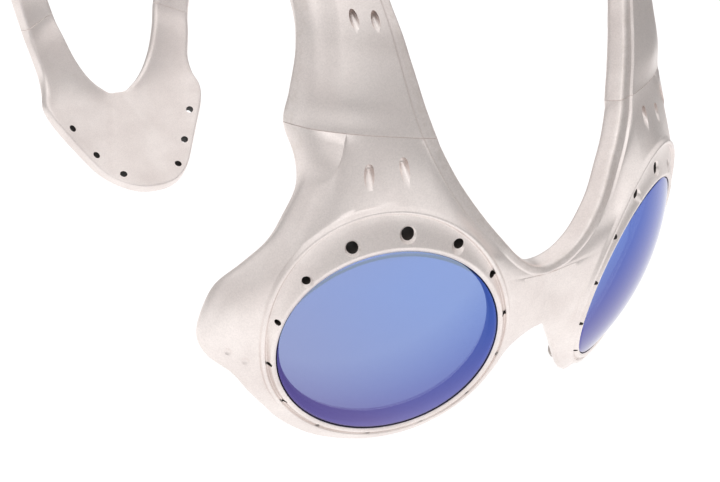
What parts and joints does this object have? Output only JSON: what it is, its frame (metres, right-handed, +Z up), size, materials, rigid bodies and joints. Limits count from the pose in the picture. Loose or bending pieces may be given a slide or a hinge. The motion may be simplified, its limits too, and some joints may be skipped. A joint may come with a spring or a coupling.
{
  "type": "over-the-head sports sunglasses",
  "caption": "Wraparound sports sunglasses with round domed lenses, held by bands over the crown of the head that meet in a rear yoke.",
  "frame": {"origin": "centre of the footprint, on the surface that the rims and the tip of the yoke stand on", "axes": "+X to the wearer's left, -Y the way the lenses face, +Z up"},
  "size_m": [0.1318, 0.2158, 0.1409],
  "materials": {
    "silver_front": "satin silver metallic lacquer on moulded plastic",
    "silver_band": "satin silver metallic lacquer on moulded plastic",
    "blue_mirror": "blue mirror coating on polycarbonate",
    "pad_rubber": "matt soft rubber"
  },
  "bodies": {
    "frame": {"front_frame": "silver_front", "right_crown_band": "silver_band", "left_crown_band": "silver_band", "rear_yoke": "silver_band", "right_nose_pad": "pad_rubber", "left_nose_pad": "pad_rubber"},
    "right_lens_body": {"right_lens": "blue_mirror"},
    "left_lens_body": {"left_lens": "blue_mirror"}
  },
  "joints": [
    {"name": "right_lens_release", "type": "slide", "parent": "frame", "child": "right_lens_body", "axis": [-0.3723, -0.9033, -0.213], "range_m": [0, 0.008]},
    {"name": "left_lens_release", "type": "slide", "parent": "frame", "child": "left_lens_body", "axis": [0.3723, -0.9033, -0.213], "range_m": [0, 0.008]}
  ]
}
